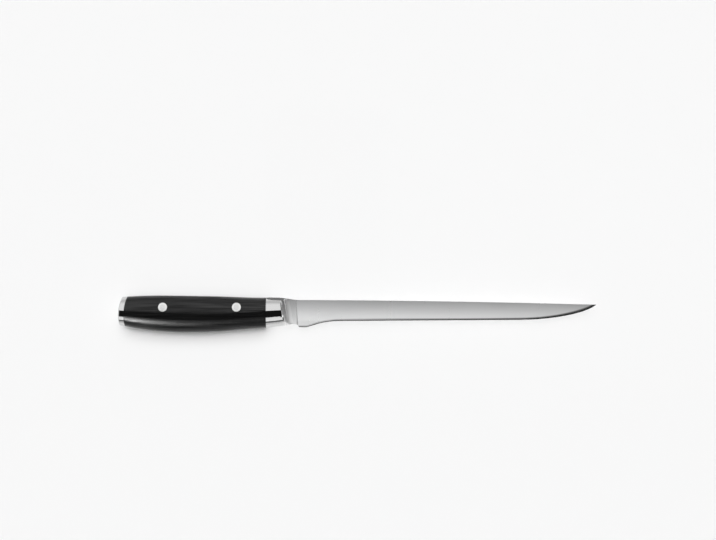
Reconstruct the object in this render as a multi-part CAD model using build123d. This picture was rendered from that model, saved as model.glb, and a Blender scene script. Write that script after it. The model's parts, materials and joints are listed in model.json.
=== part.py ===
# Fillet knife: forged blade with a full tang, two riveted scales, bolster cheeks and an end cap.
#
# Lengths are in millimetres. The knife lies on its left side: +X runs from the butt to the tip,
# +Y from the cutting edge to the spine, and +Z up out of its right side. The origin is at the
# bottom centre of its box, on the surface that it lies on. The pieces are drawn with x from the
# butt, y from the middle of the handle's height and z from the middle of the tang, and they are
# moved to that origin when they are written.

from build123d import *
import os
from math import cos, radians, sin, tan

# Lengths along the knife, from the butt to the tip
end_cap_thickness = 4.2
scale_length = 108.8
bolster_length = 12.2
neck_length = 12.6
blade_length = 228.6

# Handle section
handle_height = 28.4
handle_thickness = 18.0
side_swell = 0.11
section_fullness_share = 0.6

# Handle outline, from the butt to just past the bolster's shoulder. Each row has the place along
# the handle, the top and the belly as shares of half its height, and the widest level as a share of
# the section's own height, down from the top
outline_shares = [
    (-0.02, 0.947, 0.650, 0.55),
    (0.08, 0.958, 0.742, 0.57),
    (0.25, 1.000, 0.940, 0.58),
    (0.40, 0.987, 1.000, 0.59),
    (0.60, 0.955, 0.963, 0.59),
    (0.80, 0.894, 0.822, 0.56),
    (0.90, 0.880, 0.752, 0.53),
    (1.00, 0.864, 0.652, 0.52),
    (1.04, 0.816, 0.586, 0.52),
]

# End cap
butt_radius = 43.0
cap_joint_radius = 47.0
butt_level = -1.6
cap_edge_round = 0.9
tongue_depth = 2.4
tongue_cover = 3.2
slot_clearance = 0.05

# Tang and neck
tang_thickness = 2.4
neck_top = 10.9
neck_bottom = 7.75
neck_widest_share = 0.52
notch_radius = 2.6
notch_run = 0.6

# Bolster cheeks
shoulder_setback = 1.4
shoulder_round = 1.6
cheek_lip = 0.12
cove_reach_share = 0.58
cove_fullness_share = 0.6
cheek_lean = 10.0

# Blade outline, as levels above or depths below the middle of the handle's height
spine_level = 10.65
spine_drop = 3.6
spine_crown = 0.7
neck_sweep = 2.6
heel_depth = 10.2
heel_flat = 4.8
heel_corner_round = 0.8
heel_sweep = 26.5
edge_depth_rear = 5.4
edge_depth_front = 4.6
tip_sweep = 59.5
heel_lead_shares = (0.13, 0.40)
tip_lead_shares = (0.514, 0.9)
tip_lift_share = 0.525

# Blade grind and edge
spine_thickness = 2.1
tip_thickness = 0.9
edge_thickness = 0.45
grind_crown_share = 0.0085
plunge_setback = 1.6
plunge_angle = 40.0
bevel_angle = 17.0
bevel_reach = 2.2
edge_land = 0.06

# Cutler's rivets: a head with a tube on the right, a head with a pin on the left
rivet_level = 5.3
front_rivet_setback = 22.5
rear_rivet_setback = 29.9
rivet_head_diameter = 6.8
rivet_head_seat = 4.6
rivet_tube_diameter = 4.8
rivet_pin_diameter = 3.2
rivet_end_gap = 0.4
rivet_clearance = 0.05

# Every cutting body runs past what it cuts by this much
overrun = 4.0

# Places along the knife
cap_joint_x = end_cap_thickness
bolster_joint_x = cap_joint_x + scale_length
shoulder_x = bolster_joint_x + bolster_length
heel_x = shoulder_x + neck_length
tip_x = heel_x + blade_length
neck_x = heel_x - notch_radius - notch_run
rivet_places = {
    "rear": cap_joint_x + rear_rivet_setback,
    "front": bolster_joint_x - front_rivet_setback,
}
half_height = handle_height / 2
half_width = handle_thickness / 2
half_tang = tang_thickness / 2
full_width = (-handle_thickness, handle_thickness)


def block(x_range, z_range, y_range=(-handle_height, handle_height)):
    """Box between two corners."""
    ranges = (x_range, y_range, z_range)
    sizes = [high - low for low, high in ranges]
    middle = [(low + high) / 2 for low, high in ranges]
    return Pos(*middle) * Box(*sizes)


def cross_bar(x, y, radius, z_range=full_width):
    """Round bar that runs from one side of the knife to the other."""
    low, high = z_range
    return Pos(x, y, (low + high) / 2) * Cylinder(radius, high - low)


def egg_section(x, top, bottom, widest_share):
    """Closed section standing at x, widest at one level and fuller than an ellipse."""
    widest = top - (top - bottom) * widest_share
    crown_pull = widest + (top - widest) * section_fullness_share
    belly_pull = widest + (bottom - widest) * section_fullness_share
    quarters = []
    for side in (half_width + side_swell, -half_width - side_swell):
        pull = side * section_fullness_share
        crown = [(x, top, 0), (x, top, pull), (x, crown_pull, side), (x, widest, side)]
        belly = [(x, widest, side), (x, belly_pull, side), (x, bottom, pull), (x, bottom, 0)]
        quarters.append((crown, belly))
    right, left = quarters
    loop = [right[0], right[1], left[1][::-1], left[0][::-1]]
    return Wire([Bezier(*points) for points in loop])


def make_envelope():
    """Outer form of the handle and neck, lofted, with one flat along each side."""
    wires = []
    for place, top, belly, widest in outline_shares:
        wires.append(egg_section(place * shoulder_x, top * half_height, -belly * half_height, widest))
    wires.append(egg_section(neck_x, neck_top, -neck_bottom, neck_widest_share))
    return Solid.make_loft(wires) & block((-overrun, tip_x), (-half_width, half_width))


def make_cap_zone():
    """Everything behind the curved joint between the end cap and the scales."""
    centre_x = cap_joint_x + cap_joint_radius
    return block((-overrun, centre_x), full_width) - cross_bar(centre_x, butt_level, cap_joint_radius)


def make_tongue(gap):
    """Tongue of the tang inside the end cap, or with a gap the slot that takes it."""
    butt_top, butt_belly = (share * half_height for share in outline_shares[0][1:3])
    levels = (tongue_cover - butt_belly - gap, butt_top - tongue_cover + gap)
    reach = (cap_joint_x - tongue_depth - gap, cap_joint_x + tongue_depth)
    return block(reach, (-half_tang - gap, half_tang + gap), levels)


def make_end_cap(envelope, cap_zone):
    """Butt cap with a round outer face, eased edges and a blind slot."""
    cap = envelope & cap_zone & cross_bar(butt_radius, butt_level, butt_radius)
    butt_face = cap.faces().sort_by(Axis.X)[0]
    cap = fillet(butt_face.edges(), cap_edge_round)
    return cap - make_tongue(slot_clearance)


def rivet_hole(x):
    """Stepped hole for one rivet through both scales and the tang."""
    head_radius = rivet_head_diameter / 2 + rivet_clearance
    hole = cross_bar(x, rivet_level, rivet_tube_diameter / 2 + rivet_clearance)
    hole += cross_bar(x, rivet_level, head_radius, (rivet_head_seat, handle_thickness))
    hole += cross_bar(x, rivet_level, head_radius, (-handle_thickness, -rivet_head_seat))
    return hole


def make_scale(envelope, cap_zone, z_range):
    """Handle scale between the cap joint and the bolster joint."""
    scale = (envelope & block((-overrun, bolster_joint_x), z_range)) - cap_zone
    for x in rivet_places.values():
        scale -= rivet_hole(x)
    return scale


def make_cheek(envelope):
    """Right bolster cheek: a flat side, a rounded shoulder and a cove that runs out on the neck."""
    lip_z = half_tang + cheek_lip
    wall_x = shoulder_x + shoulder_setback
    cove_x = shoulder_x + neck_length * cove_reach_share
    cove = Bezier(
        (wall_x, 0, half_width),
        (wall_x, 0, half_width + (lip_z - half_width) * cove_fullness_share),
        (cove_x + (wall_x - cove_x) * cove_fullness_share, 0, lip_z),
        (cove_x, 0, lip_z),
    )
    back = Polyline(
        (cove_x, 0, lip_z),
        (cove_x, 0, half_tang),
        (cap_joint_x, 0, half_tang),
        (cap_joint_x, 0, half_width),
        (wall_x, 0, half_width),
    )
    lean = Vector(-sin(radians(cheek_lean)), cos(radians(cheek_lean)), 0)
    profile = Pos(*(lean * -half_height)) * make_face([cove, *back.edges()])
    front = extrude(profile, amount=handle_height, dir=lean)
    square = (envelope & front & block((bolster_joint_x, neck_x), (half_tang, half_width))).solid()
    rim = [
        edge
        for edge in square.edges()
        if edge.center().X > shoulder_x - shoulder_round and edge.bounding_box().max.Z > half_width / 2
    ]
    return square.fillet(shoulder_round, rim)


def blade_curves():
    """Curves of the blade's outline: those that are sharpened, in order, and the others."""
    spine_start = heel_x + neck_sweep
    spine_end = spine_level - spine_drop
    spine_middle = (spine_level + spine_end) / 2 + spine_crown
    rear_x = heel_x + heel_corner_round
    sweep_x = rear_x + heel_flat
    edge_x = sweep_x + heel_sweep
    front_x = tip_x - tip_sweep
    slope = (edge_depth_rear - edge_depth_front) / (front_x - edge_x)
    heel_first, heel_second = heel_lead_shares
    tip_first, tip_second = tip_lead_shares
    tip_rise = spine_end + edge_depth_front
    sharpened = [
        Line((rear_x, -heel_depth), (sweep_x, -heel_depth)),
        Bezier(
            (sweep_x, -heel_depth),
            (sweep_x + heel_sweep * heel_first, -heel_depth),
            (sweep_x + heel_sweep * heel_second, -edge_depth_rear - slope * heel_sweep * (1 - heel_second)),
            (edge_x, -edge_depth_rear),
        ),
        Line((edge_x, -edge_depth_rear), (front_x, -edge_depth_front)),
        Bezier(
            (front_x, -edge_depth_front),
            (front_x + tip_sweep * tip_first, -edge_depth_front + slope * tip_sweep * tip_first),
            (front_x + tip_sweep * tip_second, -edge_depth_front + tip_rise * tip_lift_share),
            (tip_x, spine_end),
        ),
    ]
    notch_x = heel_x - notch_radius
    notch_level = -neck_bottom - notch_radius
    corner_level = -heel_depth + heel_corner_round
    others = [
        ThreePointArc(
            (tip_x, spine_end),
            ((spine_start + tip_x) / 2, spine_middle),
            (spine_start, spine_level),
        ),
        Bezier(
            (spine_start, spine_level),
            (heel_x, spine_level),
            (notch_x, spine_level),
            (neck_x, neck_top),
        ),
        Line((neck_x, neck_top), (neck_x, -neck_bottom)),
        Line((neck_x, -neck_bottom), (notch_x, -neck_bottom)),
        CenterArc((notch_x, notch_level), notch_radius, 0, 90),
        Line((heel_x, notch_level), (heel_x, corner_level)),
        CenterArc((rear_x, corner_level), heel_corner_round, 180, 90),
    ]
    return sharpened, others


def ground_section(x):
    """Section of the ground blade at x: spine thickness, two crowned sides and a thin edge."""
    along_share = (x - heel_x) / blade_length
    spine_y = spine_level - spine_drop * along_share + spine_crown
    edge_y = -edge_depth_rear + (edge_depth_rear - edge_depth_front) * along_share
    spine_z = (spine_thickness + (tip_thickness - spine_thickness) * along_share) / 2
    edge_z = edge_thickness / 2
    middle_y = (spine_y + edge_y) / 2
    middle_z = (spine_z + edge_z) / 2 + (spine_y - edge_y) * grind_crown_share
    right = ThreePointArc((x, spine_y, spine_z), (x, middle_y, middle_z), (x, edge_y, edge_z))
    left = ThreePointArc((x, edge_y, -edge_z), (x, middle_y, -middle_z), (x, spine_y, -spine_z))
    below = Polyline(
        (x, edge_y, edge_z),
        (x, -handle_height, edge_z),
        (x, -handle_height, -edge_z),
        (x, edge_y, -edge_z),
    )
    above = Polyline(
        (x, spine_y, -spine_z),
        (x, handle_height, -spine_z),
        (x, handle_height, spine_z),
        (x, spine_y, spine_z),
    )
    return Wire([right, *below.edges(), left, *above.edges()])


def make_bevel_cut(sharpened, side):
    """What sharpening takes off one side of the edge, from the heel to past the tip."""
    start = sharpened[0] @ 0
    finish = sharpened[-1] @ 1
    heading = sharpened[-1] % 1
    lead_in = Line((heel_x, start.Y), start)
    lead_out = Line(finish, finish + heading * overrun)
    path = Wire([lead_in, *sharpened, lead_out])
    land_z = edge_land / 2
    reach_z = land_z + bevel_reach * tan(radians(bevel_angle))
    corners = [
        (heel_x, start.Y, side * land_z),
        (heel_x, start.Y + bevel_reach, side * reach_z),
        (heel_x, start.Y + bevel_reach, side * half_width),
        (heel_x, start.Y - overrun, side * half_width),
        (heel_x, start.Y - overrun, side * land_z),
    ]
    return sweep(make_face(Polyline(*corners, close=True)), path=path)


def make_blade(envelope, cap_zone):
    """Forging with the tang, neck, heel spur, ground blade and sharpened edge."""
    sharpened, others = blade_curves()
    outline = extrude(make_face([*sharpened, *others]), amount=half_tang, both=True)
    ground = Solid.make_loft([ground_section(shoulder_x), ground_section(tip_x + overrun)], True)
    plunge_x = heel_x - plunge_setback
    nose_x = plunge_x + half_tang / tan(radians(plunge_angle))
    ricasso_corners = [
        (shoulder_x, half_tang),
        (plunge_x, half_tang),
        (nose_x, 0),
        (plunge_x, -half_tang),
        (shoulder_x, -half_tang),
    ]
    ricasso_face = Plane.XZ * make_face(Polyline(*ricasso_corners, close=True))
    ricasso = extrude(ricasso_face, amount=handle_height, both=True)
    blade = outline & (ground + ricasso)
    for side in (1, -1):
        blade -= make_bevel_cut(sharpened, side)
    tang = (envelope & block((-overrun, neck_x), (-half_tang, half_tang))) - cap_zone
    blade = blade + tang + make_tongue(0)
    for x in rivet_places.values():
        blade -= rivet_hole(x)
    return blade


def make_rivet(envelope, x):
    """The two halves of one rivet, their heads flush with the scales."""
    head_radius = rivet_head_diameter / 2
    tube_radius = rivet_tube_diameter / 2
    pin_radius = rivet_pin_diameter / 2
    stop = rivet_head_seat - rivet_end_gap
    female = cross_bar(x, rivet_level, head_radius, (rivet_head_seat, handle_thickness))
    female += cross_bar(x, rivet_level, tube_radius, (-stop, rivet_head_seat))
    female -= cross_bar(x, rivet_level, pin_radius + rivet_clearance, (-handle_thickness, rivet_head_seat))
    male = cross_bar(x, rivet_level, head_radius, (-handle_thickness, -rivet_head_seat))
    male += cross_bar(x, rivet_level, pin_radius, (-rivet_head_seat, stop))
    return envelope & female, envelope & male


def main():
    """Build every piece and write it in the knife's own frame."""
    envelope = make_envelope()
    cap_zone = make_cap_zone()
    cheek = make_cheek(envelope)
    pieces = {
        "blade": make_blade(envelope, cap_zone),
        "end_cap": make_end_cap(envelope, cap_zone),
        "scale_right": make_scale(envelope, cap_zone, (half_tang, half_width)),
        "scale_left": make_scale(envelope, cap_zone, (-half_width, -half_tang)),
        "bolster_right": cheek,
        "bolster_left": mirror(cheek, about=Plane.XY),
    }
    for place, x in rivet_places.items():
        pieces[f"rivet_{place}_female"], pieces[f"rivet_{place}_male"] = make_rivet(envelope, x)
    os.makedirs("parts", exist_ok=True)
    for name, piece in pieces.items():
        export_step(Pos(-tip_x / 2, 0, half_width) * piece, f"parts/{name}.step")


main()
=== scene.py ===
"""Studio picture of a fillet knife that lies on its left side on a white table.

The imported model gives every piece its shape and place, in metres: +X runs from the butt to the
tip, +Y from the cutting edge to the spine, and +Z up. This file gives each piece its finish and
builds the table, the light and the camera round it.
"""

import json
import logging
import math
from dataclasses import dataclass
from enum import Enum

import bpy
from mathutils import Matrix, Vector

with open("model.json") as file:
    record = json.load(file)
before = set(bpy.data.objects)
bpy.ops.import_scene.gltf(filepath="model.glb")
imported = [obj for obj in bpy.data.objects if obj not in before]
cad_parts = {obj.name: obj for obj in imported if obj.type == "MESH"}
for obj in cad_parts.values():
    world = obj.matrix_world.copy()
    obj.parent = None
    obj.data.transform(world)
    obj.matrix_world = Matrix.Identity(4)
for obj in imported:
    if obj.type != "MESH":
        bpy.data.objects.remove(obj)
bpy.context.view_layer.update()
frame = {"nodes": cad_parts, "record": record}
log = logging.getLogger("fillet_knife")

MM = 0.001
MICRON = 0.001 * MM

Colour = tuple[float, float, float]
Place = tuple[float, float, float]
Span = tuple[float, float]
Glow = tuple[Span, ...]
Line = tuple[Span, ...]

WHOLE: Span = (0.0, 1.0)
# Nearly all values of a noise lie in this span.
MOST_NOISE: Span = (0.3, 0.7)
# Sockets of the mix node for its first colour, its second colour and the result.
MIX_FIRST, MIX_SECOND, MIX_RESULT = 6, 7, 2
# A new curve point or colour stop stands here until it is moved.
UNMOVED = 0.5


class Slot(Enum):
    """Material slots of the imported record."""

    BLADE = "blade_steel"
    POLISHED = "polished_steel"
    SCALE = "handle_scale"
    RIVET = "rivet_steel"


class Group(Enum):
    """Slots whose pieces a lamp or card lights alone, or that alone shade a lamp."""

    HANDLE = frozenset({Slot.SCALE})
    METAL = frozenset({Slot.BLADE, Slot.POLISHED, Slot.RIVET})
    BLADE = frozenset({Slot.BLADE})
    FITTINGS = frozenset({Slot.POLISHED})
    CASTERS = frozenset({Slot.SCALE, Slot.RIVET})

    def gather(self) -> None:
        """Put the group's pieces in a collection of their own."""
        chosen = bpy.data.collections.new(self.name)
        for slot in Slot:
            for piece in pieces_of(slot).values():
                if slot in self.value:
                    chosen.objects.link(piece)

    def keep_for(self, light: bpy.types.Object) -> None:
        """Let a lamp or card light this group alone."""
        light.light_linking.receiver_collection = bpy.data.collections[self.name]

    def shade(self, light: bpy.types.Object) -> None:
        """Let this group alone throw a lamp's shadow."""
        light.light_linking.blocker_collection = bpy.data.collections[self.name]


def pieces_of(slot: Slot) -> dict[str, bpy.types.Object]:
    """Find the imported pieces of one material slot.

    Args:
        slot: The material slot.

    Returns:
        The pieces, by node name.
    """
    rows = frame["record"]["subparts"]
    names = [row["node"] for row in rows if row["material_slot"] == slot.value]
    return {name: frame["nodes"][name] for name in names}


@dataclass(frozen=True)
class Grain:
    """How many grains a noise has per metre along X, Y and Z, and its octaves of finer ones."""

    per_metre: Place
    octaves: float


class Graph:
    """Short calls for adding and joining the nodes of one material or world."""

    def __init__(self, tree: bpy.types.NodeTree) -> None:
        """Start from an empty node tree."""
        self.tree = tree
        tree.nodes.clear()

    def add(self, kind: str, inputs: dict | None = None, **settings: object) -> bpy.types.Node:
        """Add a node.

        Args:
            kind: The node's type name.
            inputs: Values or output sockets by input name or number.
            settings: Attributes set on the node.

        Returns:
            The new node.
        """
        node = self.tree.nodes.new(kind)
        for name, value in settings.items():
            setattr(node, name, value)
        for name, value in (inputs or {}).items():
            if isinstance(value, bpy.types.NodeSocket):
                self.tree.links.new(value, node.inputs[name])
            else:
                node.inputs[name].default_value = value
        return node

    def feed(self, shader: bpy.types.Node, sockets: dict[str, bpy.types.NodeSocket]) -> None:
        """Lead output sockets, by input name, into a shader."""
        for name, value in sockets.items():
            self.tree.links.new(value, shader.inputs[name])

    def place(self, axis: str) -> bpy.types.NodeSocket:
        """One axis of the object coordinates, X, Y or Z, in metres."""
        coordinates = self.add("ShaderNodeTexCoord").outputs["Object"]
        return self.add("ShaderNodeSeparateXYZ", {0: coordinates}).outputs[axis]

    def less(self, value: bpy.types.NodeSocket, amount: object) -> bpy.types.NodeSocket:
        """Take an amount, a number or a socket, off a value."""
        return self.add("ShaderNodeMath", {0: value, 1: amount}, operation="SUBTRACT").outputs[0]

    def dim(self, colour: bpy.types.NodeSocket, share: object) -> bpy.types.NodeSocket:
        """Keep a share of a colour."""
        inputs = {0: colour, "Scale": share}
        return self.add("ShaderNodeVectorMath", inputs, operation="SCALE").outputs[0]

    def noise(self, grain: Grain) -> bpy.types.NodeSocket:
        """Noise over stretched object coordinates.

        Args:
            grain: How fine the noise is.

        Returns:
            The noise value, about 0 to 1.
        """
        coordinates = self.add("ShaderNodeTexCoord").outputs["Object"]
        stretch = {"Vector": coordinates, "Scale": grain.per_metre}
        stretched = self.add("ShaderNodeMapping", stretch).outputs[0]
        inputs = {"Vector": stretched, "Scale": 1.0, "Detail": grain.octaves}
        return self.add("ShaderNodeTexNoise", inputs).outputs[0]

    def ramp(
        self, value: bpy.types.NodeSocket, span: Span, low: object = 0.0, high: object = 1.0
    ) -> bpy.types.NodeSocket:
        """Spread a value over a span from a low to a high result, each a number or a socket."""
        inputs = {0: value, 1: span[0], 2: span[1], 3: low, 4: high}
        return self.add("ShaderNodeMapRange", inputs).outputs[0]

    def mottle(self, noise: bpy.types.NodeSocket, span: Span) -> bpy.types.NodeSocket:
        """Spread a noise value from the span's first value to its second."""
        return self.ramp(noise, MOST_NOISE, *span)

    def blend(
        self, factor: bpy.types.NodeSocket, first: Colour, second: Colour
    ) -> bpy.types.NodeSocket:
        """Mix two colours.

        Args:
            factor: Share of the second colour.
            first: Red, green and blue.
            second: Red, green and blue.

        Returns:
            The mixed colour.
        """
        node = self.add("ShaderNodeMix", {0: factor}, data_type="RGBA")
        node.inputs[MIX_FIRST].default_value = (*first, 1.0)
        node.inputs[MIX_SECOND].default_value = (*second, 1.0)
        return node.outputs[MIX_RESULT]

    def follow(self, line: Line) -> bpy.types.NodeSocket:
        """Follow a line along the knife.

        Args:
            line: Points of X and Y in metres, by rising X.

        Returns:
            The line's Y at this X, in metres.
        """
        first, last = line[0][0], line[-1][0]
        low, high = min(y for _, y in line), max(y for _, y in line)
        share = self.ramp(self.place("X"), (first, last))
        curve = self.add("ShaderNodeFloatCurve", {"Value": share})
        points = curve.mapping.curves[0].points
        while len(points) < len(line):
            points.new(UNMOVED, UNMOVED)
        for point, (x, y) in zip(points, line):
            point.location = ((x - first) / (last - first), (y - low) / (high - low))
        curve.mapping.update()
        return self.ramp(curve.outputs[0], WHOLE, low, high)

    def relief(self, height: bpy.types.NodeSocket, depth: float) -> bpy.types.NodeSocket:
        """Normal of a fine surface relief, from its height of 0 to 1 and its depth in metres."""
        inputs = {"Height": height, "Distance": depth, "Strength": 1.0}
        return self.add("ShaderNodeBump", inputs).outputs[0]

    def round_x(self) -> bpy.types.NodeSocket:
        """Direction round the knife's length, which grinding lines follow."""
        return self.add("ShaderNodeTangent", direction_type="RADIAL", axis="X").outputs[0]


@dataclass(frozen=True)
class Finish:
    """A surface finish, made into a material once."""

    name: str
    colour: Colour
    metallic: float = 1.0

    def dress(self, graph: Graph, shader: bpy.types.Node) -> None:
        """Add this finish's texture to the material's shader."""
        raise NotImplementedError

    def material(self) -> bpy.types.Material:
        """Build the material.

        Returns:
            The new material.
        """
        made = bpy.data.materials.new(self.name)
        made.use_nodes = True
        graph = Graph(made.node_tree)
        inputs = {"Base Color": (*self.colour, 1.0), "Metallic": self.metallic}
        shader = graph.add("ShaderNodeBsdfPrincipled", inputs)
        graph.add("ShaderNodeOutputMaterial", {0: shader.outputs[0]})
        self.dress(graph, shader)
        return made


@dataclass(frozen=True)
class PolishedSteel(Finish):
    """Buffed stainless steel that turns satin where the bolster sweeps down to the blade."""

    roughness: Span = (0.045, 0.075)
    satin_roughness: float = 0.29
    satin_anisotropy: float = 0.1
    satin_colour: Colour = (0.8, 0.8, 0.8)
    satin_span: Span = WHOLE
    quarter_turn: float = 0.25
    clouds: Grain = Grain((180.0, 180.0, 180.0), 4.0)
    hairlines: Grain = Grain((260.0, 9000.0, 9000.0), 3.0)
    hairline_depth: float = 0.8 * MICRON

    def dress(self, graph: Graph, shader: bpy.types.Node) -> None:
        """Add cloudy buffing, hairlines and the satin cove.

        Args:
            graph: The material's graph.
            shader: Its Principled shader.
        """
        satin = graph.ramp(graph.place("X"), self.satin_span)
        cloud = graph.mottle(graph.noise(self.clouds), self.roughness)
        shader.inputs["Anisotropic Rotation"].default_value = self.quarter_turn
        graph.feed(shader, {
            "Base Color": graph.blend(satin, self.colour, self.satin_colour),
            "Roughness": graph.ramp(satin, WHOLE, cloud, self.satin_roughness),
            "Anisotropic": graph.ramp(satin, WHOLE, 0.0, self.satin_anisotropy),
            "Tangent": graph.round_x(),
            "Normal": graph.relief(graph.noise(self.hairlines), self.hairline_depth),
        })


@dataclass(frozen=True)
class SatinSteel(Finish):
    """Stainless steel ground across the blade, from spine to edge."""

    roughness: Span = (0.27, 0.31)
    anisotropy: float = 0.75
    quarter_turn: float = 0.25
    broad_lines: Grain = Grain((420.0, 14.0, 14.0), 5.0)
    fine_lines: Grain = Grain((3600.0, 60.0, 60.0), 3.0)
    line_shade: float = 0.97
    line_depth: float = 0.8 * MICRON
    bevel_line: Line = ()
    # Painted shade: these three fields darken a band of the ground face just above the bevel
    # line.
    painted_band_reach: Span = (0.4 * MM, 1.1 * MM)
    painted_band_rise: Span = (0.0, 110.0 * MM)
    painted_band_shade: Span = (0.65, 0.25)

    def dress(self, graph: Graph, shader: bpy.types.Node) -> None:
        """Add grinding lines across the blade, and a painted dark band above the bevel line.

        Args:
            graph: The material's graph.
            shader: Its Principled shader.
        """
        lines = graph.noise(self.fine_lines)
        dark = tuple(self.line_shade * part for part in self.colour)
        ground = graph.blend(lines, dark, self.colour)
        # Painted shade: dim the colour in a band just above the bevel line, darker towards the
        # tip.
        if self.bevel_line:
            above = graph.less(graph.place("Y"), graph.follow(self.bevel_line))
            painted_band_low = graph.ramp(graph.place("X"), self.painted_band_rise, *self.painted_band_shade)
            shade = graph.ramp(above, self.painted_band_reach, painted_band_low, 1.0)
            ground = graph.dim(ground, shade)
        shader.inputs["Anisotropic"].default_value = self.anisotropy
        shader.inputs["Anisotropic Rotation"].default_value = self.quarter_turn
        graph.feed(shader, {
            "Base Color": ground,
            "Roughness": graph.mottle(graph.noise(self.broad_lines), self.roughness),
            "Tangent": graph.round_x(),
            "Normal": graph.relief(lines, self.line_depth),
        })


@dataclass(frozen=True)
class HonedSteel(Finish):
    """The sharpened bevel, honed finer than the ground faces."""

    roughness: float = 0.14

    def dress(self, graph: Graph, shader: bpy.types.Node) -> None:
        """Set the honed surface on the material's shader."""
        shader.inputs["Roughness"].default_value = self.roughness


@dataclass(frozen=True)
class RivetSteel(Finish):
    """Rivet heads ground flush with the scales, with a bright rim round a duller middle."""

    roughness: Span = (0.18, 0.26)
    middle_colour: Colour = (0.7, 0.7, 0.695)
    row_middle: Span = (0.0, 0.0)
    half_spacing: float = 1.0
    rim_span: Span = WHOLE
    lines: Grain = Grain((500.0, 7000.0, 7000.0), 3.0)
    line_depth: float = 2.0 * MICRON

    def radius(self, graph: Graph) -> bpy.types.NodeSocket:
        """Distance from the axis of the nearer rivet.

        Args:
            graph: The material's graph.

        Returns:
            The distance in metres.
        """
        along = graph.less(graph.place("X"), self.row_middle[0])
        either = graph.add("ShaderNodeMath", {0: along}, operation="ABSOLUTE").outputs[0]
        aside = graph.less(either, self.half_spacing)
        above = graph.less(graph.place("Y"), self.row_middle[1])
        across = graph.add("ShaderNodeCombineXYZ", {0: aside, 1: above}).outputs[0]
        length = graph.add("ShaderNodeVectorMath", {0: across}, operation="LENGTH")
        return length.outputs["Value"]

    def dress(self, graph: Graph, shader: bpy.types.Node) -> None:
        """Add the rim and lengthwise sanding lines.

        Args:
            graph: The material's graph.
            shader: Its Principled shader.
        """
        lines = graph.noise(self.lines)
        rim = graph.ramp(self.radius(graph), self.rim_span)
        graph.feed(shader, {
            "Base Color": graph.blend(rim, self.middle_colour, self.colour),
            "Roughness": graph.mottle(lines, self.roughness),
            "Normal": graph.relief(lines, self.line_depth),
        })


@dataclass(frozen=True)
class CanvasLaminate(Finish):
    """Black resin-bonded cloth, sanded smooth and waxed."""

    metallic: float = 0.0
    lift: Colour = (0.002, 0.002, 0.0021)
    roughness: Span = (0.155, 0.205)
    shine: Span = (0.2, 0.64)
    fibres: Grain = Grain((350.0, 2600.0, 2600.0), 4.0)
    pores: Grain = Grain((1500.0, 1500.0, 1500.0), 4.0)
    streaks: Grain = Grain((32.0, 820.0, 820.0), 3.0)
    fibre_depth: float = 4.0 * MICRON

    def dress(self, graph: Graph, shader: bpy.types.Node) -> None:
        """Add the cloth's fibres, pores and streaks.

        Args:
            graph: The material's graph.
            shader: Its Principled shader.
        """
        fibre = graph.noise(self.fibres)
        graph.feed(shader, {
            "Base Color": graph.blend(fibre, self.colour, self.lift),
            "Roughness": graph.mottle(graph.noise(self.pores), self.roughness),
            "Specular IOR Level": graph.mottle(graph.noise(self.streaks), self.shine),
            "Normal": graph.relief(fibre, self.fibre_depth),
        })


@dataclass(frozen=True)
class SubAssembly:
    """Pieces of the knife that share a material slot."""

    slot: Slot

    def finish(self) -> Finish:
        """Choose the finish of these pieces."""
        raise NotImplementedError

    def dress(self) -> None:
        """Give every piece of the slot its finish."""
        material = self.finish().material()
        for name, piece in pieces_of(self.slot).items():
            piece.data.materials.clear()
            piece.data.materials.append(material)
            log.info("%s has the finish %s", name, material.name)


@dataclass(frozen=True)
class Blade(SubAssembly):
    """One forging with the ground blade, its bevel, the neck and the tang."""

    slot: Slot = Slot.BLADE
    colour: Colour = (0.635, 0.638, 0.64)
    bevel_lean: Span = (0.92, 0.985)
    heel: float = -45.4 * MM
    line_points: int = 30
    line_digits: int = 6
    honed_index: int = 1

    def mesh(self) -> bpy.types.Mesh:
        """The forging's own mesh."""
        return pieces_of(self.slot)["blade"].data

    def leans(self, face: bpy.types.MeshPolygon) -> bool:
        """Tell whether a face leans as the bevel does."""
        return self.bevel_lean[0] < abs(face.normal.z) < self.bevel_lean[1]

    def bevel_line(self) -> Line:
        """Read the line where the bevel meets the ground face.

        Returns:
            Points of X and Y from heel to tip, none where no face leans.
        """
        corners: dict[bool, set[Span]] = {True: set(), False: set()}
        for face in self.mesh().polygons:
            if abs(face.normal.z) > self.bevel_lean[0]:
                for index in face.vertices:
                    x, y, _ = self.mesh().vertices[index].co
                    corner = (round(x, self.line_digits), round(y, self.line_digits))
                    corners[self.leans(face)].add(corner)
        shared = corners[True] & corners[False]
        line = sorted(corner for corner in shared if corner[0] > self.heel)
        step = max(1, len(line) // self.line_points)
        log.info("the bevel's line has %d points", len(line))
        return (*line[:-1:step], *line[-1:])

    def finish(self) -> Finish:
        """Choose the satin of the ground faces."""
        return SatinSteel("blade_satin", self.colour, bevel_line=self.bevel_line())

    def dress(self) -> None:
        """Give the blade its satin, and the leaning faces of its bevel a honed finish."""
        super().dress()
        self.mesh().materials.append(HonedSteel("honed_edge", self.colour).material())
        for face in self.mesh().polygons:
            if self.leans(face):
                face.material_index = self.honed_index


@dataclass(frozen=True)
class Fittings(SubAssembly):
    """The two bolster cheeks and the end cap."""

    slot: Slot = Slot.POLISHED
    colour: Colour = (0.66, 0.66, 0.66)
    cove_start: float = -57.4 * MM
    cove_satin: float = -55.0 * MM

    def finish(self) -> Finish:
        """Choose the polish, which ends in the cove of the cheeks."""
        cove = (self.cove_start, self.cove_satin)
        return PolishedSteel("polished_steel", self.colour, satin_span=cove)


@dataclass(frozen=True)
class Scales(SubAssembly):
    """The two black handle scales."""

    slot: Slot = Slot.SCALE
    colour: Colour = (0.001, 0.001, 0.0011)

    def finish(self) -> Finish:
        """Choose the waxed laminate."""
        return CanvasLaminate("black_laminate", self.colour)


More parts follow.
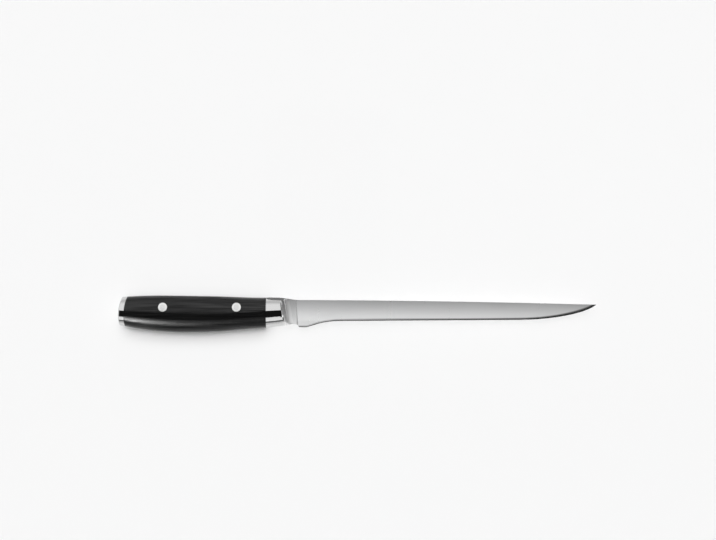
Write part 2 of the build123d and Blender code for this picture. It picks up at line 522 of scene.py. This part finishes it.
@dataclass(frozen=True)
class Rivets(SubAssembly):
    """Two rivets in a row, each of two halves."""

    slot: Slot = Slot.RIVET
    colour: Colour = (0.78, 0.78, 0.77)
    row_middle: Span = (-120.9 * MM, 5.3 * MM)
    half_spacing: float = 28.2 * MM
    rim_span: Span = (1.8 * MM, 2.6 * MM)

    def finish(self) -> Finish:
        """Choose the steel of the heads, with a rim round each axis.

        Returns:
            The rivets' finish.
        """
        return RivetSteel(
            "rivet_steel",
            self.colour,
            row_middle=self.row_middle,
            half_spacing=self.half_spacing,
            rim_span=self.rim_span,
        )


@dataclass(frozen=True)
class Knife:
    """The whole knife, sub-assembly by sub-assembly."""

    parts: tuple[SubAssembly, ...] = (Blade(), Fittings(), Scales(), Rivets())

    def dress(self) -> None:
        """Dress the sub-assemblies and gather the groups that the light needs."""
        for part in self.parts:
            part.dress()
        for group in Group:
            group.gather()


@dataclass(frozen=True)
class Lamp:
    """Lamp out of the camera's sight, which the shadow casters alone shade."""

    name: str
    place: Place
    aim: Place

    def data(self) -> bpy.types.Light:
        """Make the light's own data."""
        raise NotImplementedError

    def build(self) -> bpy.types.Object:
        """Hang the lamp.

        Returns:
            The lamp's object.
        """
        holder = bpy.data.objects.new(self.name, self.data())
        bpy.context.scene.collection.objects.link(holder)
        holder.location = self.place
        holder.rotation_mode = "QUATERNION"
        back = Vector(self.place) - Vector(self.aim)
        holder.rotation_quaternion = back.to_track_quat("Z", "Y")
        holder.visible_camera = False
        Group.CASTERS.shade(holder)
        log.info("lamp %s hangs at %s", self.name, self.place)
        return holder


@dataclass(frozen=True)
class Sky(Lamp):
    """Distant soft light that reaches the whole table evenly."""

    spread: float
    irradiance: float

    def data(self) -> bpy.types.Light:
        """Make the distant light.

        Returns:
            The light's data.
        """
        lamp = bpy.data.lights.new(self.name, "SUN")
        lamp.angle = math.radians(self.spread)
        lamp.energy = self.irradiance
        return lamp

    def build(self) -> bpy.types.Object:
        """Hang the light, which no piece mirrors.

        Returns:
            The light's object.
        """
        holder = super().build()
        holder.visible_glossy = False
        return holder


@dataclass(frozen=True)
class Strip(Lamp):
    """Square lamp that only one group of pieces mirrors."""

    side: float
    radiance: float
    group: Group

    def data(self) -> bpy.types.Light:
        """Make the square light.

        Returns:
            The light's data.
        """
        lamp = bpy.data.lights.new(self.name, "AREA")
        lamp.shape = "SQUARE"
        lamp.size = self.side
        lamp.energy = self.radiance * math.pi * self.side ** 2
        return lamp

    def build(self) -> bpy.types.Object:
        """Hang the lamp and keep it for its group.

        Returns:
            The lamp's object.
        """
        holder = super().build()
        holder.visible_diffuse = False
        self.group.keep_for(holder)
        return holder


@dataclass(frozen=True)
class Card:
    """Level card that only what mirrors it shows."""

    name: str
    level: float
    span_x: Span
    span_y: Span
    glow: Glow
    group: Group | None = None

    def paint(self) -> bpy.types.Material:
        """Make the card's glow, graded from its low Y side to its high Y side.

        Returns:
            The glowing material.
        """
        made = bpy.data.materials.new(self.name)
        made.use_nodes = True
        graph = Graph(made.node_tree)
        ramp = graph.add("ShaderNodeValToRGB", {0: graph.ramp(graph.place("Y"), self.span_y)})
        brightest = max(level for _, level in self.glow)
        stops = ramp.color_ramp.elements
        while len(stops) < len(self.glow):
            stops.new(UNMOVED)
        for stop, (y, level) in zip(stops, self.glow):
            stop.position = (y - self.span_y[0]) / (self.span_y[1] - self.span_y[0])
            shade = level / brightest
            stop.color = (shade, shade, shade, 1.0)
        light = graph.add("ShaderNodeEmission", {"Color": ramp.outputs[0], "Strength": brightest})
        graph.add("ShaderNodeOutputMaterial", {0: light.outputs[0]})
        return made

    def build(self) -> None:
        """Place the card."""
        bpy.ops.mesh.primitive_plane_add(size=1.0)
        card = bpy.context.object
        card.name = self.name
        card.location = (sum(self.span_x) / 2, sum(self.span_y) / 2, self.level)
        card.scale = (self.span_x[1] - self.span_x[0], self.span_y[1] - self.span_y[0], 1.0)
        bpy.ops.object.transform_apply(location=True, rotation=True, scale=True)
        card.data.materials.append(self.paint())
        card.visible_camera = False
        card.visible_diffuse = False
        card.visible_shadow = False
        if self.group:
            self.group.keep_for(card)
        log.info("card %s is %.4f m up", self.name, self.level)


@dataclass(frozen=True)
class Table:
    """White table top."""

    side: float = 8.0
    white: Colour = (0.9, 0.9, 0.9)
    roughness: float = 0.9

    def build(self) -> None:
        """Lay the table top."""
        bpy.ops.mesh.primitive_plane_add(size=self.side, location=(0.0, 0.0, 0.0))
        table = bpy.context.object
        table.name = "table_top"
        paint = bpy.data.materials.new("table_white")
        paint.use_nodes = True
        graph = Graph(paint.node_tree)
        inputs = {"Base Color": (*self.white, 1.0), "Roughness": self.roughness}
        shader = graph.add("ShaderNodeBsdfPrincipled", inputs)
        graph.add("ShaderNodeOutputMaterial", {0: shader.outputs[0]})
        table.data.materials.append(paint)


@dataclass(frozen=True)
class Surroundings:
    """Pale surroundings: white where they are seen, greyer in mirrors and softer as light."""

    as_light: float = 0.2
    seen: float = 1.0
    mirrored: float = 0.72
    white: Colour = (1.0, 1.0, 1.0)

    def build(self) -> None:
        """Make the world's light."""
        world = bpy.data.worlds.new("surroundings")
        bpy.context.scene.world = world
        world.use_nodes = True
        graph = Graph(world.node_tree)
        path = graph.add("ShaderNodeLightPath").outputs
        in_mirrors = graph.ramp(path["Is Glossy Ray"], WHOLE, self.as_light, self.mirrored)
        rays = {0: path["Is Camera Ray"], 1: path["Is Transmission Ray"]}
        in_sight = graph.add("ShaderNodeMath", rays, operation="MAXIMUM").outputs[0]
        strength = graph.ramp(in_sight, WHOLE, in_mirrors, self.seen)
        inputs = {"Color": (*self.white, 1.0), "Strength": strength}
        light = graph.add("ShaderNodeBackground", inputs)
        graph.add("ShaderNodeOutputWorld", {0: light.outputs[0]})


@dataclass(frozen=True)
class Camera:
    """Camera straight over the knife, as the photograph was taken."""

    image_size: Span = (716.0, 540.0)
    knife_middle: Span = (357.7, 313.88)
    pixel: float = 0.768 * MM
    lens: float = 100.0
    sensor: float = 36.0
    blade_level: float = 9.0 * MM

    def build(self) -> None:
        """Hang the camera so that one pixel covers its size at the blade's level."""
        data = bpy.data.cameras.new("camera")
        data.lens = self.lens
        data.sensor_width = self.sensor
        camera = bpy.data.objects.new("camera", data)
        bpy.context.scene.collection.objects.link(camera)
        across = (self.image_size[0] / 2 - self.knife_middle[0]) * self.pixel
        up = (self.knife_middle[1] - self.image_size[1] / 2) * self.pixel
        distance = self.pixel * self.image_size[0] * self.lens / self.sensor
        camera.location = (across, up, self.blade_level + distance)
        bpy.context.scene.camera = camera


@dataclass(frozen=True)
class Lighting:
    """Two soft skies, a strip for the handle's long highlight, and cards for the steel."""

    lamps: tuple[Lamp, ...] = (
        Sky("key", place=(0.0, 0.75, 1.45), aim=(0.0, 0.0, 0.0), spread=46.0, irradiance=1.62),
        Sky("top", place=(0.0, 0.2, 1.5), aim=(0.0, 0.0, 0.0), spread=34.0, irradiance=1.25),
        Strip(
            "strip",
            place=(-0.73, -0.75, 0.97),
            aim=(-0.15, 0.0, 0.0),
            side=0.5,
            radiance=150.0,
            group=Group.HANDLE,
        ),
    )
    high: float = 1.0
    long_x: Span = (-1.6, 1.6)
    upper_y: Span = (0.22, 1.8)
    upper_glow: Glow = ((0.22, 1.05), (1.0, 1.05), (1.8, 0.85))
    lower_y: Span = (-1.3, -0.43)
    lower_glow: Glow = ((-1.3, 1.15), (-0.43, 1.0))
    gap_y: Span = (-2.8, -1.3)
    gap_glow: Glow = ((-2.8, 0.25), (-1.3, 0.15))
    dark_x: Span = (-0.6, 0.6)
    dark_y: Span = (-0.43, 0.22)
    dark_glow: Glow = ((-0.43, 0.01), (0.22, 0.01))

    low: float = 0.06
    neck_x: Span = (-0.059, -0.0525)
    neck_gain: float = 2.2
    blade_x: Span = (-0.0525, 0.135)
    blade_y: Span = (-0.026, 0.12)
    blade_glow: Glow = ((-0.026, 1.3), (-0.014, 1.25), (0.006, 0.5), (0.014, 0.24), (0.1, 0.24))
    edge_x: Span = (-0.05, 0.135)
    edge_y: Span = (-0.12, -0.026)
    edge_glow: Glow = ((-0.12, 0.3), (-0.06, 0.1), (-0.04, 0.1))
    tip_x: Span = (0.135, 0.5)
    tip_y: Span = (-0.013, 0.12)
    tip_glow: Glow = ((-0.014, 1.25), (0.006, 0.5), (0.014, 0.24), (0.1, 0.24))
    tip_edge_y: Span = (-0.12, -0.013)
    tip_edge_glow: Glow = ((-0.12, 0.1), (-0.06, 0.02), (-0.04, 0.02))

    on_table: float = 0.5 * MM
    bolster_x: Span = (-0.071, 0.02)
    bolster_y: Span = (0.01, 0.16)
    bolster_glow: Glow = ((0.01, 0.2), (0.03, 0.25), (0.16, 0.3))

    def high_cards(self) -> list[Card]:
        """List the large cards that the handle and the fittings mirror.

        Returns:
            The cards, not yet placed.
        """
        long_x = self.long_x
        return [
            Card("upper_card", self.high, long_x, self.upper_y, self.upper_glow),
            Card("lower_card", self.high, long_x, self.lower_y, self.lower_glow, Group.METAL),
            Card("lower_gap", self.high, long_x, self.gap_y, self.gap_glow),
            Card("dark_card", self.high, self.dark_x, self.dark_y, self.dark_glow),
        ]

    def low_cards(self) -> list[Card]:
        """List the low cards that shade the blade and the top of the bolster.

        Returns:
            The cards, not yet placed.
        """
        neck_glow = tuple((y, self.neck_gain * level) for y, level in self.blade_glow)
        return [
            Card("neck_card", self.low, self.neck_x, self.blade_y, neck_glow, Group.BLADE),
            Card("blade_card", self.low, self.blade_x, self.blade_y, self.blade_glow),
            Card("tip_card", self.low, self.tip_x, self.tip_y, self.tip_glow),
            Card("edge_card", self.low, self.edge_x, self.edge_y, self.edge_glow),
            Card("tip_edge_card", self.low, self.tip_x, self.tip_edge_y, self.tip_edge_glow),
            Card(
                "bolster_card",
                self.on_table,
                self.bolster_x,
                self.bolster_y,
                self.bolster_glow,
                Group.FITTINGS,
            ),
        ]

    def build(self) -> None:
        """Hang the lamps and the cards."""
        for light in [*self.lamps, *self.high_cards(), *self.low_cards()]:
            light.build()


@dataclass(frozen=True)
class Studio:
    """Table, surroundings, light and camera."""

    table: Table = Table()
    surroundings: Surroundings = Surroundings()
    lighting: Lighting = Lighting()
    camera: Camera = Camera()

    def build(self) -> None:
        """Build the studio and choose the plain view transform."""
        for part in (self.table, self.surroundings, self.lighting, self.camera):
            part.build()
        bpy.context.scene.view_settings.view_transform = "Standard"


def main() -> None:
    """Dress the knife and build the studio."""
    logging.basicConfig(level=logging.INFO, format="%(message)s")
    Knife().dress()
    Studio().build()


if __name__ == "__main__":
    main()
